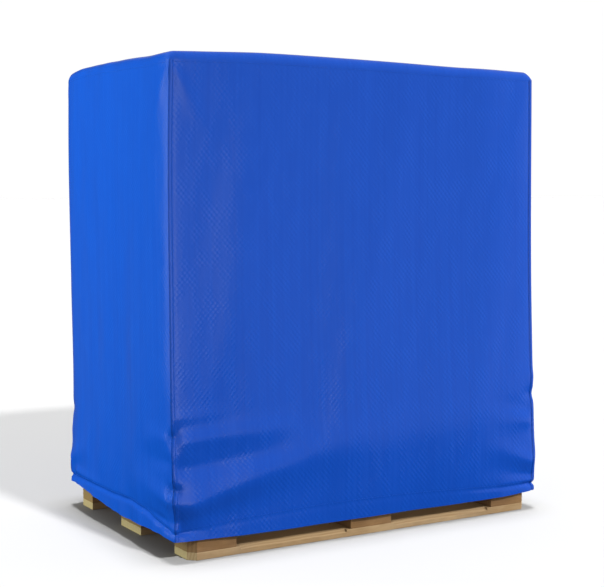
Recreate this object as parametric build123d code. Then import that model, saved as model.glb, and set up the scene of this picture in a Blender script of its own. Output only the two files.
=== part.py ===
from build123d import *
import os

# A fitted pallet cover: a fabric hood with an elastic hem, pulled down over a carton load on a
# block pallet. Millimetres. The origin is the middle of the pallet's underside, +X runs along the
# pallet's length and +Z is up. The cover lifts straight off along +Z.

os.makedirs("parts", exist_ok=True)

# Pallet
PALLET_LENGTH = 1200
PALLET_WIDTH = 800
BOARD = 22  # thickness of every board
BLOCK_HEIGHT = 78
WIDE = 145  # wide boards, and the blocks' length
NARROW = 100
CORNER_CUT = 21  # upright bevel on the pallet's four corners
SAWN_EDGE = 1.5  # rounding of the sawn edges
RAMP_WIDTH = 14  # bevel on the bottom boards' upper edges, for fork and truck wheels
RAMP_DEPTH = 9
RAMP_END_GAP = 14  # from a block to the end of the bevel

# Nails
SHANK_R = 1.7
HEAD_R = 4
HEAD_HEIGHT = 1.2
NAIL_SINK = 0.3  # below the wood's face
NAIL_CLEARANCE = 0.05
DECK_NAIL = 90
NARROW_NAIL = 38
BOTTOM_NAIL = 70
# Half the distance between nails along and across the boards
BLOCK_PITCH_X = 45
MIDDLE_PITCH_Y = 40
EDGE_PITCH_Y = 25
NARROW_PITCH_X = 42
NARROW_PITCH_Y = 28

# Load: four layers of four cartons, a little inside the pallet's edges
CARTON_LENGTH = 578
CARTON_WIDTH = 378
CARTON_HEIGHT = 311
CARTON_GAP = 4
CARTON_EDGE = 3
LAYERS = 4

# Cover
COVER_LENGTH = 1270
COVER_WIDTH = 820
FABRIC = 1.5
TOP_EDGE_R = 24  # roll of the top panel over the load's edges
TOP_RIM = 25  # from the cover's top down to the top seam
HEM_BOTTOM = 62  # height of the hem's lower edge
HEM_HEIGHT = 42  # of the turned-up inside layer
TAPE = 1.0
TAPE_WIDTH = 20
TOP_TAPE_HEIGHT = 12
CORD_R = 2
CORD_PLAY = 0.3  # around the elastic cord in its tunnel
CORD_ABOVE_HEM = 28  # from the hem's lower edge up to the cord's middle
CORD_CORNER_R = 14
FACING_END = 22  # from the cover's corner to the end of a hem facing

# Worked out from the above
BLOCK_TOP = BOARD + BLOCK_HEIGHT
STRINGER_TOP = BLOCK_TOP + BOARD
DECK_TOP = STRINGER_TOP + BOARD
END_BLOCK_X = (PALLET_LENGTH - WIDE) / 2
SIDE_BLOCK_Y = (PALLET_WIDTH - NARROW) / 2
SIDE_DECK_Y = (PALLET_WIDTH - WIDE) / 2
NARROW_DECK_Y = SIDE_DECK_Y / 2
LOAD_TOP = DECK_TOP + LAYERS * CARTON_HEIGHT
COVER_TOP = LOAD_TOP + FABRIC
TOP_SEAM = COVER_TOP - TOP_RIM
INNER_X = COVER_LENGTH / 2 - FABRIC
INNER_Y = COVER_WIDTH / 2 - FABRIC
HEM_TOP = HEM_BOTTOM + HEM_HEIGHT
CORD_Z = HEM_BOTTOM + CORD_ABOVE_HEM
CORD_INSET = CORD_R + CORD_PLAY

ROWS = {"left": -1, "centre": 0, "right": 1}
RANKS = {"front": -1, "middle": 0, "back": 1}


def box(low, high):
    """A box between two opposite corners."""
    middle = [(a + b) / 2 for a, b in zip(low, high)]
    return Pos(*middle) * Box(*[b - a for a, b in zip(low, high)])


def box_to(x, y, dx, dy, low, high):
    """A box from the point (x, y) out to (x + dx, y + dy)."""
    return box((min(x, x + dx), min(y, y + dy), low), (max(x, x + dx), max(y, y + dy), high))


def ring(half_x, half_y, wall, low, high):
    """A four-sided band: half_x and half_y reach its outside."""
    outside = box((-half_x, -half_y, low), (half_x, half_y, high))
    return outside - box((wall - half_x, wall - half_y, low), (half_x - wall, half_y - wall, high))


# ---- Nails ----


def nail_grid(x, y, half_x, half_y, points):
    """Nail places around (x, y), as fractions of a half pitch each way."""
    return [(x + half_x * u, y + half_y * v) for u, v in points]


def nail(x, y, head_z, length, spare=0.0):
    """A nail driven down from the deck, or up from the underside, or the hole for it."""
    up = head_z < BOARD
    face = NAIL_SINK if up else head_z - NAIL_SINK
    reach = length + spare
    away = 1 if up else -1
    shank = Pos(x, y, face + away * reach / 2) * Cylinder(SHANK_R + spare, reach)
    head = Pos(x, y, face + away * HEAD_HEIGHT / 2) * Cylinder(HEAD_R + spare, HEAD_HEIGHT)
    if spare:
        pocket = Pos(x, y, head_z + away * NAIL_SINK / 2) * Cylinder(HEAD_R + spare, NAIL_SINK)
        return shank + head + pocket
    return shank + head


THREE = [(-1, -1), (1, -1), (0, 1)]
THREE_TURNED = [(-1, 1), (1, 1), (0, -1)]
FOUR = [(-1, -1), (1, -1), (-1, 1), (1, 1)]

deck_nails, narrow_nails, bottom_nails = [], [], []
for row in ROWS.values():
    for rank in RANKS.values():
        pitch_y = MIDDLE_PITCH_Y if rank == 0 else EDGE_PITCH_Y
        centre = (row * END_BLOCK_X, rank * SIDE_BLOCK_Y)
        for place in nail_grid(*centre, BLOCK_PITCH_X, pitch_y, THREE):
            deck_nails.append((*place, DECK_TOP, DECK_NAIL))
        for place in nail_grid(*centre, BLOCK_PITCH_X, pitch_y, THREE_TURNED):
            bottom_nails.append((*place, 0, BOTTOM_NAIL))
    for side in (-1, 1):
        centre = (row * END_BLOCK_X, side * NARROW_DECK_Y)
        for place in nail_grid(*centre, NARROW_PITCH_X, NARROW_PITCH_Y, FOUR):
            narrow_nails.append((*place, DECK_TOP, NARROW_NAIL))
ALL_NAILS = deck_nails + narrow_nails + bottom_nails


# ---- Pallet ----


def corner_cuts():
    """The four upright prisms that bevel the pallet's corners."""
    cuts = []
    for sx in (-1, 1):
        for sy in (-1, 1):
            x, y = sx * PALLET_LENGTH / 2, sy * PALLET_WIDTH / 2
            outline = Polyline((x, y), (x - sx * CORNER_CUT, y), (x, y - sy * CORNER_CUT), close=True)
            cuts.append(extrude(make_face(outline), DECK_TOP))
    return cuts


CORNERS = corner_cuts()


def drill(piece):
    """Cut the holes of the nails that meet a piece of wood."""
    low, high = piece.bounding_box().min, piece.bounding_box().max
    for x, y, head_z, length in ALL_NAILS:
        bottom = head_z - length if head_z else 0
        top = head_z if head_z else length
        inside = low.X < x < high.X and low.Y < y < high.Y
        if inside and bottom < high.Z and top > low.Z:
            piece -= nail(x, y, head_z, length, spare=NAIL_CLEARANCE)
    return piece


def timber(low, high, bevels=()):
    """A sawn board or block, with the pallet's corner bevels, rounded edges and nail holes."""
    piece = box(low, high)
    at_corner = abs(low[0] + high[0]) / 2 + (high[0] - low[0]) / 2 == PALLET_LENGTH / 2
    at_side = abs(low[1] + high[1]) / 2 + (high[1] - low[1]) / 2 == PALLET_WIDTH / 2
    if at_corner and at_side:
        for cut in CORNERS:
            piece -= cut
    piece = fillet(piece.edges(), SAWN_EDGE)
    for bevel in bevels:
        piece -= bevel
    return drill(piece)


def ramp_bevels(low_y, high_y):
    """Prisms that bevel both upper edges of a bottom board, between its blocks."""
    start = WIDE / 2 + RAMP_END_GAP
    run = END_BLOCK_X - WIDE - 2 * RAMP_END_GAP
    cuts = []
    for edge, inward in ((low_y, 1), (high_y, -1)):
        corner = Vector(0, edge, BOARD)
        across = Vector(0, edge + inward * RAMP_WIDTH, BOARD)
        down = Vector(0, edge, BOARD - RAMP_DEPTH)
        wedge = Solid.extrude(Face(Wire.make_polygon([corner, across, down])), Vector(run, 0, 0))
        cuts += [Pos(start, 0, 0) * wedge, Pos(-start - run, 0, 0) * wedge]
    return cuts


def make_pallet():
    parts = {}
    half = PALLET_LENGTH / 2
    decks = {
        "front_deck_board": (-SIDE_DECK_Y, WIDE),
        "front_narrow_deck_board": (-NARROW_DECK_Y, NARROW),
        "middle_deck_board": (0, WIDE),
        "back_narrow_deck_board": (NARROW_DECK_Y, NARROW),
        "back_deck_board": (SIDE_DECK_Y, WIDE),
    }
    for name, (y, width) in decks.items():
        parts[name] = timber((-half, y - width / 2, STRINGER_TOP), (half, y + width / 2, DECK_TOP))
    for name, row in ROWS.items():
        x = row * END_BLOCK_X
        low = (x - WIDE / 2, -PALLET_WIDTH / 2, BLOCK_TOP)
        parts[f"{name}_stringer_board"] = timber(low, (x + WIDE / 2, PALLET_WIDTH / 2, STRINGER_TOP))
    for name, rank in RANKS.items():
        width = WIDE if rank == 0 else NARROW
        low_y, high_y = rank * SIDE_BLOCK_Y - width / 2, rank * SIDE_BLOCK_Y + width / 2
        bevels = ramp_bevels(low_y, high_y)
        parts[f"{name}_bottom_board"] = timber((-half, low_y, 0), (half, high_y, BOARD), bevels)
        for row_name, row in ROWS.items():
            x = row * END_BLOCK_X
            low = (x - WIDE / 2, low_y, BOARD)
            parts[f"{name}_{row_name}_block"] = timber(low, (x + WIDE / 2, high_y, BLOCK_TOP))
    parts["deck_nails"] = Compound(children=[nail(*place) for place in deck_nails])
    parts["narrow_board_nails"] = Compound(children=[nail(*place) for place in narrow_nails])
    parts["bottom_nails"] = Compound(children=[nail(*place) for place in bottom_nails])
    return parts


# ---- Load ----


def make_cartons():
    parts = {}
    for layer in range(LAYERS):
        bottom = DECK_TOP + layer * CARTON_HEIGHT
        places = [(sx, sy) for sy in (-1, 1) for sx in (-1, 1)]
        for number, (sx, sy) in enumerate(places, start=1):
            x = sx * (CARTON_LENGTH + CARTON_GAP) / 2
            y = sy * (CARTON_WIDTH + CARTON_GAP) / 2
            low = (x - CARTON_LENGTH / 2, y - CARTON_WIDTH / 2, bottom)
            high = (x + CARTON_LENGTH / 2, y + CARTON_WIDTH / 2, bottom + CARTON_HEIGHT)
            carton = box(low, high)
            upright = carton.edges().filter_by(Axis.Z)
            parts[f"carton_layer_{layer + 1}_{number}"] = fillet(upright, CARTON_EDGE)
    return parts


# ---- Cover ----


def top_shape(inset):
    """The top panel's outside, or its inside, with its upper edges rolled over."""
    half_x, half_y = COVER_LENGTH / 2 - inset, COVER_WIDTH / 2 - inset
    body = box((-half_x, -half_y, TOP_SEAM), (half_x, half_y, COVER_TOP - inset))
    return fillet(body.edges().group_by(Axis.Z)[-1], TOP_EDGE_R - inset)


def corner_tape(sx, sy):
    """The angle of tape bound over the corner seam's raw edges, inside the cover."""
    x, y = sx * INNER_X, sy * INNER_Y
    top = TOP_SEAM - TOP_TAPE_HEIGHT
    body = box_to(x, y, -sx * TAPE_WIDTH, -sy * TAPE_WIDTH, HEM_TOP, top)
    far = TAPE_WIDTH - TAPE
    return body - box_to(x - sx * TAPE, y - sy * TAPE, -sx * far, -sy * far, HEM_TOP, top)


def hem_facing(length):
    """A hem's turned-up inside layer, lying along X against a panel at y = 0, bowed round the cord."""
    bow_r = CORD_INSET + FABRIC
    strip = box((-length / 2, 0, HEM_BOTTOM), (length / 2, FABRIC, HEM_TOP))
    along = Rotation(0, 90, 0)
    bow = Pos(0, CORD_INSET, CORD_Z) * along * Cylinder(bow_r, length)
    tunnel = Pos(0, CORD_INSET, CORD_Z) * along * Cylinder(CORD_INSET, length)
    mouth = box((-length / 2, 0, CORD_Z - CORD_INSET), (length / 2, CORD_INSET, CORD_Z + CORD_INSET))
    outside_panel = box((-length / 2, -bow_r, CORD_Z - bow_r), (length / 2, 0, CORD_Z + bow_r))
    return strip + bow - outside_panel - tunnel - mouth


def hem_elastic():
    """The closed loop of elastic cord in the hem's tunnel."""
    length, width = 2 * (INNER_X - CORD_INSET), 2 * (INNER_Y - CORD_INSET)
    loop = Plane.XY.offset(CORD_Z) * RectangleRounded(length, width, CORD_CORNER_R)
    path = loop.face().outer_wire()
    start = Plane(path @ 0, z_dir=path % 0)
    return sweep(start * Circle(CORD_R), path)


def make_cover():
    half_x, half_y = COVER_LENGTH / 2, COVER_WIDTH / 2
    parts = {"top_panel": top_shape(0) - top_shape(FABRIC)}
    for name, side in (("front", -1), ("back", 1)):
        panel = box_to(-half_x, side * half_y, COVER_LENGTH, -side * FABRIC, HEM_BOTTOM, TOP_SEAM)
        parts[f"{name}_panel"] = panel
        facing = hem_facing(2 * (INNER_X - FACING_END))
        turn = 0 if side < 0 else 180
        parts[f"{name}_hem_facing"] = Pos(0, side * INNER_Y, 0) * Rotation(0, 0, turn) * facing
    for name, side in (("left", -1), ("right", 1)):
        panel = box_to(side * half_x, -INNER_Y, -side * FABRIC, 2 * INNER_Y, HEM_BOTTOM, TOP_SEAM)
        parts[f"{name}_panel"] = panel
        facing = hem_facing(2 * (INNER_Y - FACING_END))
        turn = -90 if side < 0 else 90
        parts[f"{name}_hem_facing"] = Pos(side * INNER_X, 0, 0) * Rotation(0, 0, turn) * facing
        for depth_name, depth in (("front", -1), ("back", 1)):
            parts[f"{depth_name}_{name}_seam_tape"] = corner_tape(side, depth)
    parts["top_seam_tape"] = ring(INNER_X, INNER_Y, TAPE, TOP_SEAM - TOP_TAPE_HEIGHT, TOP_SEAM)
    parts["hem_elastic"] = hem_elastic()
    return parts


for name, shape in {**make_pallet(), **make_cartons(), **make_cover()}.items():
    export_step(shape, f"parts/{name}.step")
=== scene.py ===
import bpy
import math
import numpy as np
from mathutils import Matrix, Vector


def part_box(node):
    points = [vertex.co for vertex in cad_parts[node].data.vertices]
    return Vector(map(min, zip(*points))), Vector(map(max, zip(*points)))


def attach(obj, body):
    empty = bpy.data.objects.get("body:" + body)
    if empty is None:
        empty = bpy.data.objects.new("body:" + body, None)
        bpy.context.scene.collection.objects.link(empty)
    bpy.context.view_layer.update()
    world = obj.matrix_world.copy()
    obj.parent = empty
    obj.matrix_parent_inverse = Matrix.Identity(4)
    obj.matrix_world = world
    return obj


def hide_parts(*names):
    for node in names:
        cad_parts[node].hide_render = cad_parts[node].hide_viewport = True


# A blue woven tarpaulin hood with an elastic hem, fitted over cartons on a block pallet.
# Everything is in metres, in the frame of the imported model: +Z up, -Y the cover's front.

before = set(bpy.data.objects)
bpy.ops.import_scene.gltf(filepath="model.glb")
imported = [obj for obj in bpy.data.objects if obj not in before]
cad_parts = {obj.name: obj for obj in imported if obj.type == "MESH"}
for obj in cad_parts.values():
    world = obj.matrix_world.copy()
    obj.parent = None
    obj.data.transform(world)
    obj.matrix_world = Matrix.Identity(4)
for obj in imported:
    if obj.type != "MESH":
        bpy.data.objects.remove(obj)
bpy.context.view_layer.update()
random = np.random.default_rng(7)

# -------- sizes taken from the frame

front_low, front_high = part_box("front_panel")
HALF_X = front_high.x
HALF_Y = -front_low.y
HEM_Z = front_low.z
SEAM_Z = front_high.z
TOP_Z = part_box("top_panel")[1].z
ROLL = TOP_Z - SEAM_Z
elastic_low, elastic_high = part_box("hem_elastic")
CINCH_ABOVE_HEM = (elastic_low.z + elastic_high.z) / 2 - HEM_Z
ELASTIC_R = (elastic_high.z - elastic_low.z) / 2
FACING_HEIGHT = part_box("front_hem_facing")[1].z - HEM_Z

CLOTH = 0.0011  # thickness of the coated weave as modelled
CELL = 0.011  # the cloth's grid

CORNERS = ("front_left", "front_right", "back_right", "back_left")
CORNER_SIGNS = {"front_left": (-1, -1), "front_right": (1, -1), "back_right": (1, 1), "back_left": (-1, 1)}
SIDES = {
    "front": ("front_left", "front_right"),
    "right": ("front_right", "back_right"),
    "back": ("back_right", "back_left"),
    "left": ("back_left", "front_left"),
}

# -------- how the cover hangs

# Each corner's place outside (+) or inside (-) the CAD cover's corner, along X and along Y, at
# shares of the height from the hem to the top seam. The hood sits a little askew on its load.
CORNER_DRAPE = {
    "front_left": (
        (0, 0.014, -0.006), (0.13, 0.020, -0.006), (0.5, 0.025, -0.006),
        (0.85, 0.025, -0.006), (1, 0.021, -0.005),
    ),
    "front_right": (
        (0, -0.009, -0.003), (0.1, -0.010, -0.003), (0.3, -0.020, -0.004),
        (0.5, -0.029, -0.005), (1, -0.038, -0.006),
    ),
    "back_right": ((0, -0.010, 0.000), (0.2, -0.014, -0.003), (0.5, -0.021, -0.005), (1, -0.026, -0.006)),
    "back_left": (
        (0, -0.008, 0.001), (0.2, -0.017, -0.002), (0.5, -0.015, -0.001),
        (0.85, -0.012, -0.001), (1, -0.014, -0.003),
    ),
}
# Height of the hem's edge along each side, from the CAD's, and of the top seam at each corner.
HEM_RISE = {
    "front": (
        (0, -0.001), (0.06, -0.0025), (0.2, -0.006), (0.6, -0.007),
        (0.75, -0.008), (0.95, -0.005), (1, -0.001),
    ),
    "right": ((0, -0.001), (0.5, 0.003), (1, 0.004)),
    "back": ((0, 0.004), (0.5, 0.002), (0.94, 0.014), (1, 0.021)),
    "left": (
        (0, 0.021), (0.1, 0.023), (0.2, 0.020), (0.3, 0.013), (0.42, 0.005),
        (0.56, 0), (0.7, 0.004), (0.85, 0.0075), (0.94, 0.005), (1, -0.001),
    ),
}
SEAM_RISE = {"front_left": 0.001, "front_right": -0.002, "back_right": 0.000, "back_left": 0.001}
# How far each side's top seam stands above the line between its ends, and how far each side swells.
SEAM_BOW = {
    "front": (
        (0, 0), (0.08, 0.003), (0.2, 0.0075), (0.4, 0.0065),
        (0.6, 0.005), (0.75, 0.0025), (0.9, 0.002), (1, 0),
    ),
    "right": ((0, 0), (0.15, 0.005), (0.5, 0.008), (0.85, 0.005), (1, 0)),
    "back": ((0, 0), (0.15, 0.005), (0.5, 0.008), (0.85, 0.005), (1, 0)),
    "left": ((0, 0), (0.16, 0.006), (0.38, 0.005), (0.62, 0.002), (0.85, -0.002), (1, 0)),
}
BELLY = {"front": 0.009, "right": 0.010, "back": 0.009, "left": 0.011}
BELLY_RUN = 0.045  # distance from a corner over which a side swells
# How each side leans out above its hem, over the pallet's edge, at shares of its length: how far,
# and the height above the hem where it stands out furthest.
LEAN = {
    "front": ((0, 0, 0.18), (0.15, 0, 0.18), (0.5, 0.009, 0.20), (0.85, 0.0105, 0.27), (1, 0, 0.28)),
    "right": ((0, 0, 0.20), (0.5, 0.003, 0.20), (1, 0, 0.20)),
    "back": ((0, 0, 0.20), (0.3, 0.006, 0.20), (0.7, 0.006, 0.20), (1, 0, 0.20)),
    "left": ((0, 0, 0.20), (1, 0, 0.20)),
}
LEAN_FADE = 0.30  # height over which it dies away above that
# How far the elastic's line stands above its CAD height over the hem's edge, along each side.
CORD_RISE = {
    "front": ((0, -0.008), (0.06, 0.0), (0.92, 0.0), (1, -0.006)),
    "right": ((0, -0.006), (0.2, 0.004), (0.5, 0.014), (0.8, 0.006), (1, -0.008)),
    "back": ((0, -0.008), (0.1, 0.0), (0.9, 0.0), (1, -0.010)),
    "left": (
        (0, -0.010), (0.09, -0.008), (0.26, 0.005), (0.45, 0.018),
        (0.655, 0.028), (0.756, 0.022), (0.895, 0.001), (1, -0.008),
    ),
}
# Depth of the elastic's groove at the corners and along each side, and the gathers' height there.
CORNER_CINCH = {"front_left": 0.005, "front_right": 0.008, "back_right": 0.007, "back_left": 0.007}
SIDE_CINCH = {
    "front": ((0, 0.003), (0.04, 0.0003), (0.75, 0.0003), (0.9, 0.0018), (1, 0.0045)),
    "right": ((0, 0.006), (0.5, 0.005), (1, 0.006)),
    "back": ((0, 0.006), (0.2, 0.002), (0.8, 0.002), (1, 0.006)),
    "left": ((0, 0.006), (0.3, 0.0045), (0.7, 0.0045), (1, 0.006)),
}
GROOVE = 0.0065  # half height of the groove that the elastic pulls in
CORNER_REACH = 0.045  # distance from a corner over which its groove deepens
GATHER = 0.28  # height of the gathers, as a share of the groove's depth
GATHER_ABOVE = 0.8  # how much of them goes on above the elastic
GATHER_START, GATHER_RUN = 0.01, 0.035  # distances over which they grow and die away there
SKIRT_FLARE = 0.4  # how far the skirt below the elastic flares, as a share of the groove's depth
RUFFLE_SHARE = 0.45  # height of each wave of the gathers
SWELL_SLOPE = 0.0025  # height of each wave of the slack cloth's swell, per metre of its length
FOLD_GROWTH = 0.08  # share of a fold's length over which it grows to its full rise
FOLD_STOP = 0.03  # distance below the top seam over which folds begin
CORNER_HOLD = 0.02  # distance from a corner over which the gathers begin
SEAM_WIDTH = 0.0125  # the seam allowance, turned onto the long sides and stitched down
SEAM_GROOVE = 0.0010  # depth of the grooves on both sides of it
BAND = 0.0012  # its thickness
BAND_LIFT = 0.0016  # how far its outer face stands off the panel
BAND_COLUMNS = 7
SEAM_TAPE = 0.0007  # thickness of the tapes inside the seams
SEAM_TAPE_CLEAR, TOP_TAPE_CLEAR = 0.0006, 0.0015  # their distance from the cloth
SEAM_TAPE_REACH = 0.018  # how far the tape inside a corner seam reaches along each side
FACING = 0.0008  # thickness of the hem's inside layer
FACING_CELL = 0.002  # its grid
TUNNEL = 0.0052  # half height of the tunnel that it leaves for the elastic
CORD_CLEAR = 0.0009  # distance between the panel and the elastic
STITCHES_BELOW_SEAM = 0.006
STITCHES_ABOVE_CORD = 0.0085
EDGE_RUN = 0.30  # how far in the top still follows its bowed edges
CROWN = 0.006  # rise of the top's middle over its edges
CROWN_RUN_X, CROWN_RUN_Y = 0.20, 0.16  # distances from the edges over which it rises
TOP_RIPPLE = 0.0030  # height of each ripple in the top, per metre of its length
TOP_LENGTH, TOP_WIDTH = 1.27, 0.82  # spans that the ripples are laid out over
RIPPLE_RUN = 0.10  # distance from the edges over which they grow

# Soft folds on each side: start and end (distance along the side, height), the half width at
# start and end, the rise (out is +), and how early the fold fades towards its end.
SOON, LATE = 1.15, 0.45
FOLDS = {
    "front": (
        ((0.000, 0.402), (0.20, 0.408), 0.013, 0.018, 0.0025, SOON),
        ((0.000, 0.362), (0.20, 0.370), 0.013, 0.018, -0.0022, SOON),
        ((0.000, 0.338), (0.40, 0.356), 0.026, 0.030, 0.0062, LATE),
        ((0.000, 0.256), (0.42, 0.290), 0.028, 0.028, -0.0062, LATE),
        ((0.000, 0.143), (0.66, 0.333), 0.030, 0.062, 0.0125, SOON),
        ((-0.30, 0.190), (1.30, 0.350), 0.070, 0.075, 0.0090, SOON),
        ((0.010, 0.098), (0.13, 0.070), 0.014, 0.022, -0.0050, SOON),
        ((0.000, 1.372), (0.13, 1.130), 0.010, 0.032, 0.0040, SOON),
        ((1.275, 0.150), (1.05, 0.240), 0.014, 0.040, 0.0060, SOON),
        ((1.275, 0.108), (1.02, 0.165), 0.012, 0.036, -0.0040, SOON),
        ((1.265, 0.330), (1.06, 0.370), 0.016, 0.040, -0.0035, SOON),
        ((1.265, 0.285), (1.08, 0.310), 0.016, 0.036, 0.0035, SOON),
    ),
    "right": (
        ((0.000, 0.310), (0.30, 0.350), 0.016, 0.040, 0.0050, SOON),
        ((0.000, 0.160), (0.34, 0.260), 0.020, 0.048, 0.0080, SOON),
        ((0.810, 0.270), (0.52, 0.330), 0.018, 0.040, 0.0055, SOON),
        ((0.810, 0.140), (0.46, 0.235), 0.020, 0.046, 0.0080, SOON),
        ((0.810, 1.360), (0.72, 1.180), 0.012, 0.030, 0.0030, SOON),
    ),
    "back": (
        ((0.000, 0.320), (0.40, 0.350), 0.022, 0.034, 0.0062, LATE),
        ((0.000, 0.250), (0.38, 0.285), 0.022, 0.030, -0.0056, LATE),
        ((0.000, 0.140), (0.55, 0.270), 0.026, 0.056, 0.0100, SOON),
        ((1.240, 0.270), (0.86, 0.340), 0.020, 0.040, 0.0062, LATE),
        ((1.240, 0.130), (0.72, 0.250), 0.026, 0.056, 0.0095, SOON),
        ((1.240, 1.360), (1.12, 1.150), 0.012, 0.030, 0.0035, SOON),
        ((0.000, 1.365), (0.15, 1.120), 0.012, 0.034, 0.0035, SOON),
    ),
    "left": (
        ((0.815, 0.345), (0.62, 0.335), 0.014, 0.034, 0.0050, SOON),
        ((0.815, 0.285), (0.56, 0.265), 0.016, 0.040, -0.0045, SOON),
        ((0.815, 0.175), (0.52, 0.200), 0.024, 0.044, 0.0085, SOON),
        ((0.790, 0.112), (0.46, 0.142), 0.011, 0.018, -0.0050, SOON),
        ((0.000, 0.160), (0.20, 0.230), 0.020, 0.044, 0.0070, SOON),
        ((0.060, 0.128), (0.34, 0.118), 0.012, 0.020, 0.0045, SOON),
        ((0.815, 1.365), (0.70, 1.150), 0.012, 0.034, 0.0035, SOON),
    ),
}
# Puckers along the corner seams: height, half height, push out along the corner (+) and reach.
PUCKERS = {
    "front_left": (
        (0.350, 0.013, -0.0070, 0.022),
        (0.300, 0.024, 0.0030, 0.050),
        (0.204, 0.012, -0.0095, 0.022),
        (0.168, 0.014, 0.0055, 0.034),
        (0.116, 0.018, -0.0045, 0.040),
    ),
    "front_right": (
        (0.372, 0.018, -0.0055, 0.045),
        (0.430, 0.020, 0.0020, 0.045),
        (0.180, 0.045, 0.0030, 0.050),
    ),
    "back_right": (
        (0.330, 0.016, -0.0060, 0.030),
        (0.270, 0.022, 0.0030, 0.050),
        (0.180, 0.018, -0.0045, 0.030),
        (0.135, 0.014, 0.0035, 0.040),
    ),
    "back_left": (
        (0.140, 0.030, 0.0045, 0.045),
        (0.320, 0.018, -0.0040, 0.030),
        (0.250, 0.024, 0.0020, 0.050),
    ),
}


def smooth_through(shares, values, at):
    """A curve through the values, level at its ends, at the wanted shares."""
    shares, values = np.array(shares, float), np.array(values, float)
    slope = np.gradient(values, shares)
    k = np.clip(np.searchsorted(shares, at, side="right") - 1, 0, len(shares) - 2)
    span = shares[k + 1] - shares[k]
    q = np.clip((at - shares[k]) / span, 0, 1)
    a, b = values[k], values[k + 1]
    m, n = slope[k] * span, slope[k + 1] * span
    from_a, leaving = 2 * q**3 - 3 * q**2 + 1, q**3 - 2 * q**2 + q
    to_b, arriving = 3 * q**2 - 2 * q**3, q**3 - q**2
    return from_a * a + leaving * m + to_b * b + arriving * n


def corner_path(corner, share):
    """Plan position of a corner at shares of the height."""
    sx, sy = CORNER_SIGNS[corner]
    shares, out_x, out_y = zip(*CORNER_DRAPE[corner])
    x = sx * (HALF_X + smooth_through(shares, out_x, share))
    y = sy * (HALF_Y + smooth_through(shares, out_y, share))
    return np.stack([x, y], -1)


def cord_height(side, across):
    """The elastic's distance above the hem's edge, at shares of the side's length."""
    return CINCH_ABOVE_HEM + smooth_through(*zip(*CORD_RISE[side]), across)


def corner_push(corner, z, above_cord, distance):
    """How far the cloth by a corner is pushed out along it, by the elastic and the puckers."""
    push = -CORNER_CINCH[corner] * groove(above_cord) * np.exp(-((distance / CORNER_REACH) ** 2))
    for height, half, rise, reach in PUCKERS[corner]:
        push = push + rise * np.exp(-(((z - height) / half) ** 2) - (distance / reach) ** 2)
    return push


def seam_relief(side, distance):
    """The stitched-down allowance beside a corner of a long side, between two shallow grooves."""
    if side in ("left", "right"):
        return 0
    at_corner = np.exp(-(((distance - 0.0012) / 0.0018) ** 2))
    at_edge = np.exp(-(((distance - SEAM_WIDTH - 0.001) / 0.002) ** 2))
    return -SEAM_GROOVE * (at_corner + at_edge)


def groove(above_cord):
    """1 on the elastic's line, falling to 0 a little above and below it."""
    return np.exp(-((above_cord / GROOVE) ** 2))


def lean(side, across, up):
    """How far a side leans out above its hem."""
    shares, amounts, heights = zip(*LEAN[side])
    furthest = smooth_through(shares, heights, across)
    below = 1 - (1 - np.clip(up / furthest, 0, 1)) ** 2
    above = np.exp(-((np.clip(up - furthest, 0, None) / LEAN_FADE) ** 2))
    return smooth_through(shares, amounts, across) * below * above


def fold(s, z, start, end, width_start, width_end, rise, fading):
    """A soft fold that spreads and dies away from its start."""
    (s0, z0), (s1, z1) = start, end
    length = math.hypot(s1 - s0, z1 - z0)
    ds, dz = (s1 - s0) / length, (z1 - z0) / length
    q = ((s - s0) * ds + (z - z0) * dz) / length
    inside = np.clip(q, 0, 1)
    off = (z - z0) * ds - (s - s0) * dz
    width = width_start + (width_end - width_start) * inside
    past = np.maximum(np.abs(q - 0.5) - 0.5, 0) * length / width_start
    fade = np.minimum(inside / FOLD_GROWTH, 1) * (1 - inside) ** fading
    return rise * fade * np.exp(-((off / width) ** 2)) * np.exp(-(past**2))


def make_waves(count, shortest, longest, tilt):
    """Wave numbers, phases and heights of a gentle random swell, mostly upright folds."""
    length = shortest * (longest / shortest) ** random.random(count)
    angle = random.normal(0, tilt, count)
    turn = random.random(count) * 2 * np.pi
    return 2 * np.pi * np.cos(angle) / length, 2 * np.pi * np.sin(angle) / length, turn, length


SWELL = {side: make_waves(10, 0.10, 0.60, 0.22) for side in SIDES}
RUFFLE = {side: make_waves(6, 0.045, 0.16, 0.12) for side in SIDES}


def wave_sum(waves, s, z, height=0, slope=0):
    """Waves added up, each with a height, or with a slope times its length."""
    total = 0
    for ks, kz, turn, length in zip(*waves):
        total = total + (height + slope * length) * np.sin(ks * s + kz * z + turn)
    return total


def side_field(side, s, room, z, above_cord, cord, below_seam):
    """How far the cloth stands out from the straight line between its corners."""
    ends = (1 - np.exp(-s / BELLY_RUN)) * (1 - np.exp(-room / BELLY_RUN))
    out = BELLY[side] * ends + seam_relief(side, s) + seam_relief(side, room)
    out = out + wave_sum(SWELL[side], s, z, slope=SWELL_SLOPE) * ends
    for one in FOLDS[side]:
        out = out + fold(s, z, *one) * (1 - np.exp(-((below_seam / FOLD_STOP) ** 2)))
    near = (1 - np.exp(-((s / CORNER_HOLD) ** 2))) * (1 - np.exp(-((room / CORNER_HOLD) ** 2)))
    shares, depths = zip(*SIDE_CINCH[side])
    depth = np.interp(s / (s + room), shares, depths)
    out = out - depth * groove(above_cord) * near
    skirt = np.clip(-above_cord / cord, 0, 1)
    above = np.clip(above_cord, 0, None)
    gathers = skirt + GATHER_ABOVE * np.exp(-above / GATHER_RUN) * np.clip(above / GATHER_START, 0, 1)
    ruffle = wave_sum(RUFFLE[side], s, z, height=RUFFLE_SHARE)
    out = out + depth * GATHER * ruffle * gathers * near
    return out + SKIRT_FLARE * depth * skirt * near


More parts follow.
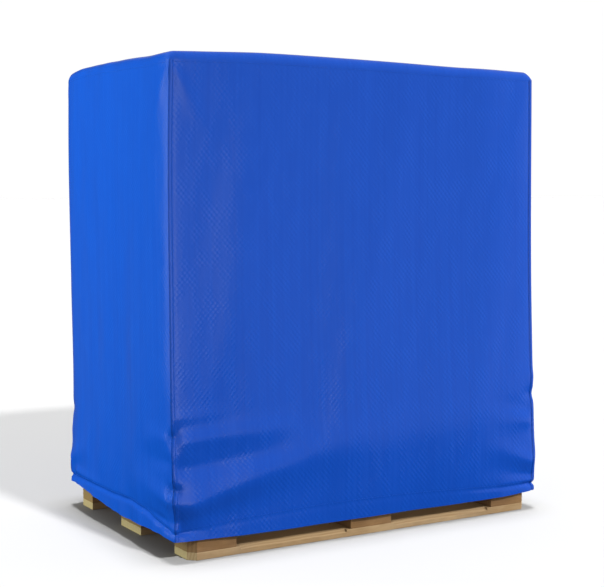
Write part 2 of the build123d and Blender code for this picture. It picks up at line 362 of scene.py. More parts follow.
def side_length(side):
    """The side's length at mid height."""
    a, b = (corner_path(c, np.array([0.5]))[0] for c in SIDES[side])
    return float(np.hypot(*(b - a)))


def graded(length, first=0.0014, growth=1.22, cell=CELL):
    """Distances from 0 to length, close together near both ends and even between."""
    steps = [first]
    while steps[-1] * growth < cell:
        steps.append(steps[-1] * growth)
    ends = np.concatenate([[0], np.cumsum(steps)])
    middle = np.linspace(ends[-1], length - ends[-1], round((length - 2 * ends[-1]) / cell) + 1)
    return np.concatenate([ends[:-1], middle, (length - ends[:-1])[::-1]])


LENGTH = {side: side_length(side) for side in SIDES}
COLUMNS = {side: graded(LENGTH[side]) / LENGTH[side] for side in SIDES}


def cloth(side, across, up, inset=0.0):
    """Points of a side's outer face. across runs 0 to 1 between its corners, as columns, and up is
    the distance above the hem's edge, as rows. inset moves the points into the hood."""
    first, last = SIDES[side]
    across = np.asarray(across, float)[None, :]
    up = np.asarray(up, float)
    up = (up[:, None] if up.ndim == 1 else up) + 0 * across
    height = SEAM_Z - HEM_Z
    share = up / height
    hem = smooth_through(*zip(*HEM_RISE[side]), across)
    ends_rise = SEAM_RISE[first] + (SEAM_RISE[last] - SEAM_RISE[first]) * across
    seam = ends_rise + smooth_through(*zip(*SEAM_BOW[side]), across)
    z = HEM_Z + up + hem * (1 - share) + seam * share
    low, high = corner_path(first, share), corner_path(last, share)
    length = np.linalg.norm(high - low, axis=-1)
    along = (high - low) / length[..., None]
    outward = np.stack([along[..., 1], -along[..., 0]], -1)
    s = across * length
    room = length - s
    cord = cord_height(side, across)
    out = side_field(side, s, room, z, up - cord, cord, height - up) + lean(side, across, up)
    plan = low + along * s[..., None] + outward * (out - inset)[..., None]
    for corner, distance in ((first, s), (last, room)):
        diagonal = np.array(CORNER_SIGNS[corner]) / math.sqrt(2)
        plan = plan + corner_push(corner, z, up - cord, distance)[..., None] * diagonal
    if np.any(inset):
        start = np.minimum(np.maximum(inset - s, 0), length / 2)
        end = np.minimum(np.maximum(inset - room, 0), length / 2)
        plan = plan + along * (start - end)[..., None]
    return np.concatenate([plan, z[..., None]], -1)


def rows_between(low, high, cell=CELL, fine=0.0035, fine_run=0.07):
    """Heights above the hem, close together in the gathers and near the top seam."""
    bottom = np.arange(low, min(low + fine_run, high), fine)
    if high <= low + fine_run:
        return np.append(bottom, high)
    middle = np.linspace(low + fine_run, high - 0.02, round((high - low - fine_run - 0.02) / cell) + 1)
    return np.concatenate([bottom, middle, np.linspace(high - 0.015, high, 4)])


# -------- mesh helpers


def mesh_object(name, points, faces, material, flat=None, smooth=True):
    """A mesh in the scene. flat holds each point's place on the flat cloth."""
    data = bpy.data.meshes.new(name)
    data.from_pydata([tuple(p) for p in points], [], [tuple(f) for f in faces])
    if flat is not None:
        layer = data.uv_layers.new(name="cloth")
        loops = np.empty(len(data.loops), int)
        data.loops.foreach_get("vertex_index", loops)
        layer.data.foreach_set("uv", np.asarray(flat, np.float32)[loops].ravel())
    data.update()
    if smooth:
        data.shade_smooth()
    thing = bpy.data.objects.new(name, data)
    bpy.context.scene.collection.objects.link(thing)
    data.materials.append(material)
    return thing


def grid_object(name, grid, along, up, material, flip=False):
    """A sheet from rows and columns of points. along holds the columns' distances on the flat
    cloth, and up holds the rows', or every point's own."""
    rows, columns = grid.shape[:2]
    flat = np.stack(np.broadcast_arrays(along[None, :], up if up.ndim == 2 else up[:, None]), -1)
    index = np.arange(rows * columns).reshape(rows, columns)
    quads = np.stack([index[:-1, :-1], index[:-1, 1:], index[1:, 1:], index[1:, :-1]], -1).reshape(-1, 4)
    if flip:
        quads = quads[:, ::-1]
    return mesh_object(name, grid.reshape(-1, 3), quads.tolist(), material, flat.reshape(-1, 2))


def thicken(thing, thickness=CLOTH):
    """Gives a sheet its thickness, inwards from its outer face."""
    solid = thing.modifiers.new("thickness", "SOLIDIFY")
    solid.thickness = thickness
    solid.offset = -1
    solid.use_even_offset = False
    rim = thing.modifiers.new("sharp_rim", "EDGE_SPLIT")
    rim.split_angle = math.radians(60)
    return thing


def grid_normals(grid):
    """Unit normals of a grid of points, by its rows and columns."""
    normal = np.cross(np.gradient(grid, axis=1), np.gradient(grid, axis=0))
    return normal / np.linalg.norm(normal, axis=-1, keepdims=True)


def stitch_line(line, normals, pitch=0.0055, length=0.0040, width=0.0009, height=0.0006):
    """Points and faces of a row of thread stitches along a line, lying on the cloth."""
    distance = np.concatenate([[0], np.cumsum(np.linalg.norm(np.diff(line, axis=0), axis=1))])
    at = np.arange(pitch / 2, distance[-1], pitch)

    def read(values, places):
        return np.stack([np.interp(places, distance, values[:, k]) for k in range(3)], -1)

    middle, up = read(line, at), read(normals, at)
    ahead = read(line, at + 0.001) - middle
    ahead /= np.linalg.norm(ahead, axis=1, keepdims=True) + 1e-12
    side = np.cross(up, ahead)
    shape = []
    for along in (-0.3, 0.3):
        for a, b in ((-0.5, 0.0), (-0.25, 1.0), (0.25, 1.0), (0.5, 0.0)):
            shape.append(middle + ahead * along * length + side * a * width + up * b * height)
    for along in (-0.5, 0.5):
        shape.append(middle + ahead * along * length)
    points = np.stack(shape, 1).reshape(-1, 3)
    quads = [(0, 4, 5, 1), (1, 5, 6, 2), (2, 6, 7, 3), (3, 7, 4, 0)]
    caps = [(8, 0, 1), (8, 1, 2), (8, 2, 3), (8, 3, 0), (9, 5, 4), (9, 6, 5), (9, 7, 6), (9, 4, 7)]
    faces = [tuple(10 * k + i for i in f) for k in range(len(at)) for f in quads + caps]
    return points, faces


def joined(pieces):
    """Several lots of points and faces as one."""
    points, faces, count = [], [], 0
    for p, f in pieces:
        points.append(p)
        faces += [tuple(i + count for i in one) for one in f]
        count += len(p)
    return np.concatenate(points), faces


# -------- materials


class Nodes:
    """A short way to build the node tree of a new material, or of a new world."""

    def __init__(self, name, kind="materials"):
        self.owner = getattr(bpy.data, kind).new(name)
        self.owner.use_nodes = True
        self.tree = self.owner.node_tree

    def add(self, kind, **settings):
        node = self.tree.nodes.new("ShaderNode" + kind)
        for key, value in settings.items():
            if hasattr(node, key):
                setattr(node, key, value)
            else:
                node.inputs[key.replace("_", " ")].default_value = value
        return node

    def link(self, source, target, socket=0):
        out = source if isinstance(source, bpy.types.NodeSocket) else source.outputs[0]
        self.tree.links.new(out, target.inputs[socket])
        return target

    def place(self, space="Object"):
        return self.add("TexCoord").outputs[space]

    def math(self, operation, a, b=None):
        node = self.add("Math", operation=operation)
        for k, value in enumerate((a, b)):
            if value is None:
                continue
            if isinstance(value, (int, float)):
                node.inputs[k].default_value = value
            else:
                self.link(value, node, k)
        return node

    def times(self, a, b):
        return self.math("MULTIPLY", a, b)

    def plus(self, a, b):
        return self.math("ADD", a, b)

    def stretched(self, coordinates, stretch):
        return self.link(coordinates, self.add("Mapping", Scale=stretch)).outputs[0]

    def noise(self, coordinates, scale, detail=2.0, stretch=None):
        if stretch:
            coordinates = self.stretched(coordinates, stretch)
        return self.link(coordinates, self.add("TexNoise", Scale=scale, Detail=detail))

    def ramp(self, factor, *stops):
        node = self.add("ValToRGB")
        while len(node.color_ramp.elements) < len(stops):
            node.color_ramp.elements.new(0.5)
        for element, (position, colour) in zip(node.color_ramp.elements, stops):
            element.position = position
            element.color = (*colour, 1) if len(colour) == 3 else colour
        return self.link(factor, node)

    def mix(self, factor, a, b, blend="MIX"):
        node = self.add("Mix", data_type="RGBA", blend_type=blend)
        for value, socket in ((factor, 0), (a, 6), (b, 7)):
            if isinstance(value, (int, float)):
                node.inputs[socket].default_value = value
            elif isinstance(value, tuple):
                node.inputs[socket].default_value = (*value, 1)
            else:
                self.link(value, node, socket)
        return node.outputs[2]

    def bump(self, height, strength, distance, below=None):
        node = self.add("Bump", Strength=strength, Distance=distance)
        self.link(height, node, "Height")
        if below:
            self.link(below, node, "Normal")
        return node


def set_surface(nodes, colour=None, roughness=None, normal=None, **constants):
    """Links or sets what the surface shader needs, and gives back the finished material."""
    surface = nodes.tree.nodes["Principled BSDF"]
    for socket, value in (("Base Color", colour), ("Roughness", roughness), ("Normal", normal)):
        if value is None:
            continue
        if isinstance(value, (int, float)):
            surface.inputs[socket].default_value = value
        else:
            nodes.link(value, surface, socket)
    for key, value in constants.items():
        surface.inputs[key.replace("_", " ")].default_value = value
    return nodes.owner


SCRIM_PITCH = (0.0075, 0.0085)  # width and height of one square of the woven scrim
TAPE_PITCH = 0.0024  # width of one flat tape of the weave


def tarpaulin(name="tarpaulin", shade=1.0):
    """Coated flat-tape weave: a chequer of over and under tapes, faint upright streaks, soft gloss."""
    n = Nodes(name)
    uv = n.add("UVMap", uv_map="cloth")
    split = n.link(uv, n.add("SeparateXYZ"))

    def chequer(across, up):
        """0 to 1 over squares of the given width and height."""
        waves = []
        for k, size in enumerate((across, up)):
            waves.append(n.math("SINE", n.times(split.outputs[k], math.pi / size)))
        return n.plus(n.times(n.times(*waves), 0.5), 0.5)

    scrim = chequer(*SCRIM_PITCH)
    tapes = chequer(TAPE_PITCH, TAPE_PITCH)
    streaks = n.noise(uv.outputs[0], 1.0, 3.0, stretch=(100.0, 0.9, 1.0))
    broad = n.noise(uv.outputs[0], 1.0, 2.0, stretch=(26.0, 1.2, 1.0))
    cloud = n.noise(uv.outputs[0], 3.0, 3.0)
    # shade below 1 scales the whole colour down, as painted shade; the hem facing's copy uses 0.8.
    deep = (0.0030 * shade, 0.0490 * shade, 0.358 * shade)
    bright = (0.0055 * shade, 0.0715 * shade, 0.454 * shade)
    patches = n.noise(uv.outputs[0], 1.0, 2.0, stretch=(30.0, 12.0, 1.0))
    patches = n.ramp(patches, (0.42, (0.1, 0.1, 0.1)), (0.62, (1, 1, 1)))
    showing = n.times(scrim, patches)
    tone = n.times(showing, 0.14)
    for part, share in ((tapes, 0.25), (streaks, 0.42), (broad, 0.10), (cloud, 0.10)):
        tone = n.plus(tone, n.times(part, share))
    colour = n.ramp(tone, (0.20, deep), (0.80, bright))
    rough = n.plus(n.times(streaks, 0.20), n.times(showing, -0.06))
    rough = n.plus(rough, 0.12)
    coarse = n.bump(cloud, 0.25, 0.004)
    squares = n.bump(showing, 0.6, 0.0007, below=coarse)
    weave = n.bump(tapes, 0.35, 0.0002, below=squares)
    return set_surface(n, colour, rough, weave, Specular_IOR_Level=0.27)


def binding(name, colour):
    """Woven polyester tape or thread, with fine ribs."""
    n = Nodes(name)
    place = n.place()
    ribs = n.link(place, n.add("TexWave", Scale=260.0, Distortion=0.6, Detail=1.0))
    fuzz = n.noise(place, 900.0)
    deep = tuple(0.75 * c for c in colour)
    shade = n.ramp(n.times(n.plus(ribs, fuzz), 0.5), (0.2, deep), (0.8, colour))
    return set_surface(n, shade, 0.75, n.bump(ribs, 0.4, 0.0002), Specular_IOR_Level=0.3)


def wood(name, grain_axis, pale, dark, weather=0.25):
    """Sawn softwood with growth rings about an off-centre heart, knots, fibres and grime."""
    n = Nodes(name)
    place = n.place()
    chance = n.add("ObjectInfo").outputs["Random"]
    shift = n.add("CombineXYZ")
    for k, furthest in enumerate((7.3, 3.1, 0.19)):
        n.link(n.times(chance, furthest), shift, k)
    moved = n.link(place, n.add("VectorMath", operation="ADD"))
    n.link(shift, moved, 1)

    def by_grain(along, across):
        """Scales for the three axes, with one of them along the grain."""
        return tuple(along if axis == grain_axis else across for axis in "XYZ")

    warp = n.noise(moved.outputs[0], 5.0, 3.0, stretch=by_grain(0.35, 1.0))
    bent = n.add("VectorMath", operation="MULTIPLY_ADD")
    n.link(warp.outputs["Color"], bent, 0)
    bent.inputs[1].default_value = (0.05, 0.05, 0.05)
    n.link(moved.outputs[0], bent, 2)
    rings = n.add(
        "TexWave", wave_type="RINGS", rings_direction=grain_axis, Scale=38.0, Distortion=1.4, Detail=2.0
    )
    n.link(bent.outputs[0], rings)
    fibre = n.noise(place, 9.0, 4.0, stretch=by_grain(1.5, 90.0))
    squeezed = n.stretched(moved, by_grain(0.6, 1.6))
    knots = n.link(squeezed, n.add("TexVoronoi", Scale=4.5))
    knot = n.ramp(knots.outputs["Distance"], (0.035, (1, 1, 1)), (0.075, (0, 0, 0)))
    grime = n.noise(place, 6.0, 5.0)
    tone = n.plus(n.times(rings, 0.32), n.times(fibre, 0.78))
    colour = n.ramp(tone, (0.25, pale), (0.85, dark))
    brown = tuple(0.35 * c for c in dark)
    colour = n.mix(n.times(knot, 0.7), colour.outputs[0], brown)
    grey = tuple(0.55 * (sum(dark) / 3 + c) for c in dark)
    stain = n.ramp(grime, (0.45, (0, 0, 0)), (0.75, (weather,) * 3))
    colour = n.mix(stain.outputs[0], colour, grey)
    each = n.plus(n.times(chance, 0.14), 0.90)
    lift = n.add("CombineXYZ")
    for k in range(3):
        n.link(each, lift, k)
    colour = n.mix(1.0, colour, lift.outputs[0], "MULTIPLY")
    rough = n.plus(n.times(fibre, 0.2), 0.62)
    relief = n.bump(fibre, 0.5, 0.0004)
    relief = n.bump(rings, 0.25, 0.0006, below=relief)
    return set_surface(n, colour, rough, relief, Specular_IOR_Level=0.25)


def nail_steel():
    """Nail heads with spots of rust."""
    n = Nodes("nail_steel")
    spots = n.noise(n.place(), 420.0, 3.0)
    colour = n.ramp(spots, (0.35, (0.30, 0.29, 0.28)), (0.7, (0.16, 0.10, 0.07)))
    rough = n.plus(n.times(spots, 0.3), 0.3)
    return set_surface(n, colour, rough, n.bump(spots, 0.3, 0.0002), Metallic=0.85)


def cardboard():
    """Kraft board with fibres and the faint lines of its flutes."""
    n = Nodes("cardboard")
    place = n.place()
    fibres = n.noise(place, 160.0, 4.0)
    blotch = n.noise(place, 4.0, 3.0)
    flutes = n.link(place, n.add("TexWave", bands_direction="Z", Scale=42.0, Distortion=0.3))
    tone = n.plus(n.times(fibres, 0.5), n.times(blotch, 0.5))
    colour = n.ramp(tone, (0.3, (0.33, 0.205, 0.105)), (0.7, (0.46, 0.30, 0.165)))
    relief = n.bump(flutes, 0.10, 0.0005, below=n.bump(fibres, 0.25, 0.0003))
    return set_surface(n, colour, 0.85, relief, Specular_IOR_Level=0.2)


def packing_tape():
    """Brown parcel tape, slightly wrinkled."""
    n = Nodes("packing_tape")
    wrinkle = n.noise(n.place(), 30.0, 3.0, stretch=(1.0, 5.0, 1.0))
    colour = n.ramp(wrinkle, (0.3, (0.36, 0.22, 0.10)), (0.7, (0.44, 0.28, 0.13)))
    return set_surface(n, colour, 0.22, n.bump(wrinkle, 0.2, 0.0006), Specular_IOR_Level=0.5)


def pale_floor():
    """A pale floor that gives little light back to the cover above it."""
    n = Nodes("pale_floor")
    soft = n.noise(n.place(), 0.7)
    colour = n.ramp(soft, (0.3, (0.245, 0.245, 0.245)), (0.7, (0.25, 0.25, 0.25)))
    seen = n.add("LightPath").outputs["Is Camera Ray"]
    colour = n.mix(seen, (0.06, 0.06, 0.06), colour.outputs[0])
    return set_surface(n, colour, 0.9, Specular_IOR_Level=0.1)


# -------- the cover

TARP = tarpaulin()
# The hem facing's copy of the tarpaulin is painted 0.8 times darker: painted shade for the inside of the
# hood.
TARP_INSIDE_PAINTED_SHADE = tarpaulin("tarpaulin_inside", shade=0.8)
TAPE = binding("seam_binding", (0.010, 0.060, 0.330))
# The seam thread is dark navy, darker than the cloth: partly its own colour, partly painted shade for the
# dark lines along the seam allowance's edges.
SEAM_THREAD_AND_SHADE = binding("thread", (0.005, 0.055, 0.330))
HEM_THREAD = binding("hem_thread", (0.006, 0.090, 0.540))
ELASTIC = binding("elastic_cover", (0.010, 0.014, 0.035))
SEAM_HEIGHT = SEAM_Z - HEM_Z


def make_side(side):
    """One side panel, hem to top seam."""
    up = rows_between(0, SEAM_HEIGHT)
    grid = cloth(side, COLUMNS[side], up)
    panel = thicken(grid_object(f"{side}_cloth", grid, COLUMNS[side] * LENGTH[side], up, TARP))
    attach(panel, "cover")
    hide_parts(f"{side}_panel")
    return panel


def make_top():
    """The top panel: crowned, rolled over its edges, and meeting the sides at the top seam."""

    def tilt(columns, length):
        """The angle of the roll at each column, from level to upright."""
        s = columns * length
        return np.arcsin(np.clip((ROLL - np.minimum(s, length - s)) / ROLL, 0, 1))

    def with_roll(columns, length):
        """The panel's columns, with even steps round the roll."""
        steps = ROLL * (1 - np.cos(np.linspace(0, math.pi / 2, 9)))
        inner = columns[(columns * length > ROLL * 1.2) & (columns * length < length - ROLL * 1.2)]
        return np.concatenate([steps / length, inner, (1 - steps / length)[::-1]])

    u = with_roll(COLUMNS["front"], LENGTH["front"])
    v = with_roll(COLUMNS["left"], LENGTH["left"])
    tilt_u, tilt_v = tilt(u, LENGTH["front"])[None, :], tilt(v, LENGTH["left"])[:, None]
    corner = {c: np.append(corner_path(c, np.array([1.0]))[0], SEAM_Z + SEAM_RISE[c]) for c in CORNERS}
    gu, gv = u[None, :, None], v[:, None, None]
    base = (1 - gv) * ((1 - gu) * corner["front_left"] + gu * corner["front_right"])
    base = base + gv * ((1 - gu) * corner["back_left"] + gu * corner["back_right"])
    total, weight = 0, 0
    for side, columns, flat_edge, axis, far in (
        ("front", u, base[0], 0, gv * LENGTH["left"]),
        ("back", 1 - u, base[-1], 0, (1 - gv) * LENGTH["left"]),
        ("left", 1 - v, base[:, 0], 1, gu * LENGTH["front"]),
        ("right", v, base[:, -1], 1, (1 - gu) * LENGTH["front"]),
    ):
        gap = np.expand_dims(cloth(side, columns, [SEAM_HEIGHT])[0] - flat_edge, axis)
        share = 1 / (far**2 + 1e-9)
        total = total + gap * share * np.exp(-((far / EDGE_RUN) ** 2))
        weight = weight + share
    grid = base + total / weight
    rise = ROLL * np.cos(tilt_u) * np.cos(tilt_v)
    near_u = np.minimum(u, 1 - u)[None, :] * LENGTH["front"]
    near_v = np.minimum(v, 1 - v)[:, None] * LENGTH["left"]
    crown = CROWN * (1 - np.exp(-near_u / CROWN_RUN_X)) * (1 - np.exp(-near_v / CROWN_RUN_Y))
    waves = make_waves(9, 0.16, 0.7, 1.2)
    ripple = wave_sum(waves, u[None, :] * TOP_LENGTH, v[:, None] * TOP_WIDTH, slope=TOP_RIPPLE)
    level = (1 - np.exp(-near_u / RIPPLE_RUN)) * (1 - np.exp(-near_v / RIPPLE_RUN))
    grid[..., 2] += rise + crown + ripple * level
    panel = thicken(grid_object("top_cloth", grid, u * LENGTH["front"], v * LENGTH["left"], TARP))
    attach(panel, "cover")
    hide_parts("top_panel")
    return panel


def make_seam_band(corner):
    """A corner's seam allowance, turned onto the long side, and its inside tape. Gives back the
    stitches that hold the allowance down."""
    side = "front" if "front" in corner else "back"
    at_end = SIDES[side][1] == corner
    share = np.linspace(0.0006, SEAM_WIDTH, BAND_COLUMNS) / LENGTH[side]
    share = (1 - share)[::-1] if at_end else share
    up = rows_between(0, SEAM_HEIGHT)
    grid = cloth(side, share, up)
    normal = grid_normals(grid)
    lift = BAND_LIFT * np.sin(np.linspace(0.3, math.pi - 0.3, BAND_COLUMNS)) ** 0.4
    band = grid + normal * lift[None, :, None]
    outer = grid_object(f"{corner}_seam_allowance", band, share * LENGTH[side], up, TARP)
    thicken(outer, BAND)
    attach(outer, "cover")
    up = rows_between(FACING_HEIGHT, SEAM_HEIGHT - 0.004, fine_run=0.02)
    first, last = [s for s in SIDES if corner in SIDES[s]]
    strips = []
    for one in (first, last):
        reach = np.linspace(0.0, SEAM_TAPE_REACH / LENGTH[one], 5)
        reach = 1 - reach if SIDES[one][1] == corner else reach
        strips.append(cloth(one, reach, up, inset=CLOTH + SEAM_TAPE_CLEAR))
    strip = np.concatenate([strips[0][:, ::-1], strips[1][:, 1:]], 1)
    flip = SIDES[first][1] != corner
    along = np.linspace(-SEAM_TAPE_REACH, SEAM_TAPE_REACH, strip.shape[1])
    tape = grid_object(f"{corner}_inside_tape", strip, along, up, TAPE, flip)
    thicken(tape, SEAM_TAPE)
    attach(tape, "cover")
    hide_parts(f"{corner}_seam_tape")
    return joined([stitch_line(band[:, k], normal[:, k], width=0.0013) for k in (1, -2)])


def around(height, inset=0.0):
    """A closed line round the hood at a distance above the hem, with the cloth's normals there.
    height is a function of a side and of shares of its length."""
    lines, normals = [], []
    for side in SIDES:
        up = height(side, COLUMNS[side])[None, :]
        span = np.concatenate([up - 0.002, up, up + 0.002])
        grid = cloth(side, COLUMNS[side], span, inset=inset)
        lines.append(grid[1, :-1])
        normals.append(grid_normals(grid)[1, :-1])
    return np.concatenate(lines), np.concatenate(normals)


def make_facing(side):
    """The hem's turned-up inside layer, standing off the panel round the elastic."""
    cord = cord_height(side, COLUMNS[side])[None, :]
    top = cord + FACING_HEIGHT - CINCH_ABOVE_HEM
    rows = math.ceil(float(top.max()) / FACING_CELL) + 1
    up = FACING + (top - FACING) * np.linspace(0, 1, rows)[:, None]
    bow = (2 * ELASTIC_R + FACING) * np.exp(-(((up - cord) / TUNNEL) ** 4))
    grid = cloth(side, COLUMNS[side], up, inset=CLOTH + 0.0005 + bow)
    facing = grid_object(f"{side}_facing", grid, COLUMNS[side] * LENGTH[side], up, TARP_INSIDE_PAINTED_SHADE)
    thicken(facing, FACING)
    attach(facing, "cover")
    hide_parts(f"{side}_hem_facing")
    return facing


def tube(name, line, radius, material, sides=10):
    """A round cord along a closed line."""
    ahead = np.roll(line, -1, 0) - np.roll(line, 1, 0)
    ahead /= np.linalg.norm(ahead, axis=1, keepdims=True)
    up = np.array([0, 0, 1.0])
    side = np.cross(ahead, up)
    side /= np.linalg.norm(side, axis=1, keepdims=True)
    up = np.cross(side, ahead)
    turn = np.linspace(0, 2 * math.pi, sides, endpoint=False)
    ring = np.cos(turn)[None, :, None] * side[:, None] + np.sin(turn)[None, :, None] * up[:, None]
    points = (line[:, None] + radius * ring).reshape(-1, 3)
    count = len(line)
    faces = []
    for i in range(count):
        j = (i + 1) % count
        for a in range(sides):
            b = (a + 1) % sides
            faces.append((i * sides + a, j * sides + a, j * sides + b, i * sides + b))
    return mesh_object(name, points, faces, material)


def make_cover():
    """Every piece of the cover, and what is known of its flat cloth."""
    panels = {side: make_side(side) for side in SIDES}
    top = make_top()
    stitches = [make_seam_band(corner) for corner in CORNERS]
    below_seam = around(lambda side, across: SEAM_HEIGHT - STITCHES_BELOW_SEAM + 0 * across)
    above_cord = around(lambda side, across: cord_height(side, across) + STITCHES_ABOVE_CORD)
    level = [stitch_line(*below_seam), stitch_line(*above_cord)]
    for name, lines, finish in (("seam_stitching", stitches, SEAM_THREAD_AND_SHADE), ("hem_stitching", level, HEM_THREAD)):
        points, faces = joined(lines)
        thread = mesh_object(name, points, faces, finish)
        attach(thread, "cover")
    facings = {side: make_facing(side) for side in SIDES}
    line, _ = around(cord_height, inset=CLOTH + CORD_CLEAR + ELASTIC_R)
    elastic = tube("elastic_cord", line, ELASTIC_R * 0.95, ELASTIC)
    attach(elastic, "cover")
    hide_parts("hem_elastic")
    span = SEAM_HEIGHT - np.array([0.013, 0.001])
    inset = CLOTH + TOP_TAPE_CLEAR
    strips = [cloth(side, COLUMNS[side], span, inset=inset)[:, :-1] for side in SIDES]
    ring = np.concatenate(strips + [strips[0][:, :1]], 1)
    along = np.linspace(0, sum(LENGTH.values()), ring.shape[1])
    top_tape = thicken(grid_object("top_inside_tape", ring, along, span, TAPE), SEAM_TAPE)
    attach(top_tape, "cover")
    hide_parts("top_seam_tape")


make_cover()

# -------- the pallet

BOARD_X = wood("board_wood_x", "X", (0.420, 0.292, 0.160), (0.285, 0.180, 0.085))
BOARD_Y = wood("board_wood_y", "Y", (0.380, 0.260, 0.145), (0.265, 0.165, 0.078))
BLOCK_WOOD = wood("block_wood", "X", (0.275, 0.158, 0.070), (0.170, 0.090, 0.036), 0.35)
NAIL = nail_steel()

FINISHES = (("nails", NAIL), ("block", BLOCK_WOOD), ("stringer_board", BOARD_Y), ("board", BOARD_X))
for name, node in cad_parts.items():
    matching = [finish for ending, finish in FINISHES if name.endswith(ending)]
    if matching:
        node.data.materials.clear()
        node.data.materials.append(matching[0])

# -------- the cartons

KRAFT = cardboard()
PACKING_TAPE = packing_tape()
BOARD = 0.004  # thickness of the cartons' board, with its flutes
FLAP_GAP = 0.003
FLAP_SETBACK = 0.001  # how far the flaps stay inside the walls
TAPE_WIDTH = 0.050
TAPE_DROP = 0.065  # how far the tape turns down the ends
TAPE_THICKNESS = 0.0003


def block(low, high, edge=0.0):
    """Points and faces of a box, with its upright edges cut back by edge."""
    (x0, y0, z0), (x1, y1, z1) = low, high
    e = edge
    plan = [(x0 + e, y0), (x1 - e, y0), (x1, y0 + e), (x1, y1 - e)]
    plan += [(x1 - e, y1), (x0 + e, y1), (x0, y1 - e), (x0, y0 + e)]
    points = [(x, y, z) for z in (z0, z1) for x, y in plan]
    faces = [tuple(range(7, -1, -1)), tuple(range(8, 16))]
    faces += [(i, (i + 1) % 8, 8 + (i + 1) % 8, 8 + i) for i in range(8)]
    return np.array(points), faces


def make_carton(node):
    """A taped carton: walls, two top and two bottom flaps with the gap between each pair, and one strip of
    tape.
    """
    low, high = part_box(node)
    walls = block((low.x, low.y, low.z + BOARD), (high.x, high.y, high.z - BOARD), 0.004)
    middle = (low.y + high.y) / 2
    x0, x1 = low.x + FLAP_SETBACK, high.x - FLAP_SETBACK
    near_flap = (low.y + FLAP_SETBACK, middle - FLAP_GAP / 2)
    far_flap = (middle + FLAP_GAP / 2, high.y - FLAP_SETBACK)
    pieces = [walls]
    for z in (low.z, high.z - BOARD):
        for y0, y1 in (near_flap, far_flap):
            pieces.append(block((x0, y0, z), (x1, y1, z + BOARD), 0.003))
    points, faces = joined(pieces)
    carton = mesh_object(f"{node}_box", points, faces, KRAFT, smooth=False)
    soft = carton.modifiers.new("soft_edges", "BEVEL")
    soft.width, soft.segments = 0.0012, 2
    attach(carton, "loaded_pallet")
    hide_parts(node)
    strips = []
    y0, y1 = middle - TAPE_WIDTH / 2, middle + TAPE_WIDTH / 2
    for outside in (low.x - TAPE_THICKNESS, high.x):
        low_end, high_end = high.z - TAPE_DROP, high.z - 0.001
        strips.append(block((outside, y0, low_end), (outside + TAPE_THICKNESS, y1, high_end)))
    strips.append(block((x0, y0, high.z - 0.0004), (x1, y1, high.z + TAPE_THICKNESS / 2)))
    points, faces = joined(strips)
    tape = mesh_object(f"{node}_tape", points, faces, PACKING_TAPE, smooth=False)
    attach(tape, "loaded_pallet")


for name in sorted(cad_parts):
    if name.startswith("carton"):
        make_carton(name)

# -------- floor, light and camera

FLOOR_HALF = 150.0  # far enough for its edge to be lost in the white
floor_corners = FLOOR_HALF * np.array([(-1, -1, 0), (1, -1, 0), (1, 1, 0), (-1, 1, 0)])
floor = mesh_object("floor", floor_corners, [(0, 1, 2, 3)], pale_floor(), smooth=False)


def add_lamp(name, kind, power, place, target=(0, 0, 0), **settings):
    """A lamp at a place, turned to its target."""
    light = bpy.data.lights.new(name, kind)
    light.energy = power
    for key, value in settings.items():
        setattr(light, key, value)
    lamp = bpy.data.objects.new(name, light)
    lamp.location = place
    lamp.rotation_euler = (Vector(target) - Vector(place)).to_track_quat("-Z", "Y").to_euler()
    bpy.context.scene.collection.objects.link(lamp)
    return lamp


def add_sun(name, power, azimuth, elevation, spread):
    """A distant lamp, seen from the object at an azimuth (0 is +Y, 90 is +X) and an elevation."""
    turn, tip = math.radians(azimuth), math.radians(elevation)
    place = (math.cos(tip) * math.sin(turn), math.cos(tip) * math.cos(turn), math.sin(tip))
    return add_lamp(name, "SUN", power, place, angle=math.radians(spread))


def skip_floor(lamp):
    """Keeps a lamp's light off the floor, so that the cast shadow stays even."""
    unlit = bpy.data.collections.new(f"{lamp.name}_skips")
    unlit.objects.link(floor)
    unlit.collection_objects[0].light_linking.link_state = "EXCLUDE"
    lamp.light_linking.receiver_collection = unlit
    lamp.visible_camera = False


# The lamps that shape the cover. Only corner_strip shows in it, as the sheen beside the near corner.
front_sun = add_sun("front_sun", 2.28, 152, 36.5, 4)
left_key = add_lamp(
    "left_key", "AREA", 165, (-3.4, 1.1, 1.75), (-0.6, 0.0, 0.9), size=2.2, color=(0.8, 1.10, 0.96)
)
corner_strip = add_lamp("corner_strip", "AREA", 6.2, (-3.23, 1.82, 0.95), (-0.62, 0.0, 0.95), size=1.0)
corner_strip.data.shape = "RECTANGLE"
corner_strip.data.size_y = 1.9
right_fill = add_lamp("right_fill", "AREA", 55, (3.0, -1.7, 1.6), (0.5, -0.4, 0.9), size=1.2)
back_fill = add_lamp("back_fill", "AREA", 110, (1.3, 4.2, 2.0), (0.0, 0.3, 0.7), size=2.0)
for lamp in (front_sun, left_key, corner_strip, right_fill, back_fill):
    skip_floor(lamp)
# A faint warm lamp under the deck, for the brown inside of the fork openings.
fork_glow = add_lamp("fork_glow", "AREA", 0.52, (0.0, 0.0, 0.098), size=1.16, color=(1.0, 0.84, 0.68))
fork_glow.data.shape = "RECTANGLE"
fork_glow.data.size_y = 0.76
fork_glow.visible_camera = False
for lamp in (front_sun, left_key, right_fill, back_fill, fork_glow):
    lamp.visible_glossy = False
# The floor's own lamps: one casts the long shadow behind the object, one keeps the rest white.
only_floor = bpy.data.collections.new("only_floor")
only_floor.objects.link(floor)
floor_sun = add_sun("floor_sun", 6.2, 174, 36.5, 4)
floor_overhead = add_sun("floor_overhead", 6.8, 0, 90, 11)
for lamp in (floor_sun, floor_overhead):
    lamp.light_linking.receiver_collection = only_floor


BACKDROP = 1.01  # a little over 1, for plain white behind the object


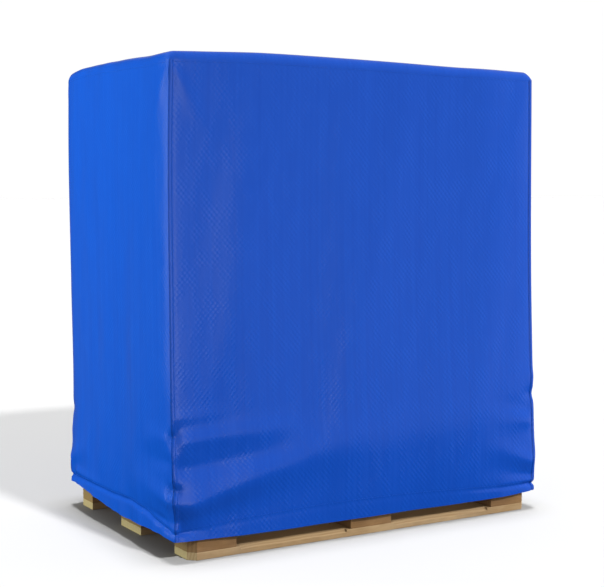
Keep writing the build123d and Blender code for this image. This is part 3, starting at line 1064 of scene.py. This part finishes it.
def studio_world():
    """A white backdrop. Diffuse light is white above and dimmer below, where the floor would be.
    Reflections see a bright front, a dimmer front left, a dark back and a dark floor."""
    n = Nodes("studio", "worlds")
    bpy.context.scene.world = n.owner
    way = n.place("Generated")
    height = n.link(way, n.add("SeparateXYZ")).outputs["Z"]

    def ramp(value, low, high, at_low, at_high):
        """A smooth change from one strength to another as the value goes from low to high."""
        ends = {"From_Min": low, "From_Max": high, "To_Min": at_low, "To_Max": at_high}
        return n.link(value, n.add("MapRange", interpolation_type="SMOOTHSTEP", **ends)).outputs[0]

    def toward(azimuth):
        """1 in the direction of an azimuth (0 is +Y, 90 is +X), and less away from it."""
        node = n.link(way, n.add("VectorMath", operation="DOT_PRODUCT"))
        turn = math.radians(azimuth)
        node.inputs[1].default_value = (math.sin(turn), math.cos(turn), 0)
        return node.outputs["Value"]

    def choose(factor, a, b):
        """a, or b where the factor is 1."""
        node = n.link(factor, n.add("Mix"))
        n.link(a, node, 2)
        if isinstance(b, float):
            node.inputs[3].default_value = b
        else:
            n.link(b, node, 3)
        return node.outputs[0]

    diffuse = ramp(height, -0.16, -0.06, 0.25, 0.86)
    mirrored = ramp(height, -0.235, -0.165, 0.05, 1.0)
    for part in (
        ramp(height, -0.13, 0.03, 1.75, 1.0),
        ramp(toward(190), 0.82, 0.98, 0.48, 2.4),
        ramp(toward(225), 0.70, 0.88, 1.0, 0.35),
        ramp(toward(345), 0.72, 0.90, 1.0, 0.08),
    ):
        mirrored = n.times(mirrored, part)
    path = n.add("LightPath")
    strength = choose(path.outputs["Is Glossy Ray"], diffuse, mirrored)
    strength = choose(path.outputs["Is Camera Ray"], strength, BACKDROP)
    background = n.tree.nodes["Background"]
    n.link(strength, background, "Strength")
    background.inputs["Color"].default_value = (1, 1, 1, 1)


studio_world()
floor.visible_glossy = False
bpy.context.scene.view_settings.view_transform = "Standard"

camera_data = bpy.data.cameras.new("camera")
camera = bpy.data.objects.new("camera", camera_data)
bpy.context.scene.collection.objects.link(camera)
camera.location = (-2.2050, -3.6505, 1.0186)
camera.rotation_euler = (math.radians(90 - 4.403), 0, math.radians(-31.142))
camera_data.sensor_fit = "HORIZONTAL"
camera_data.sensor_width = 36.0
camera_data.lens = 79.73
camera_data.clip_end = 200
bpy.context.scene.camera = camera
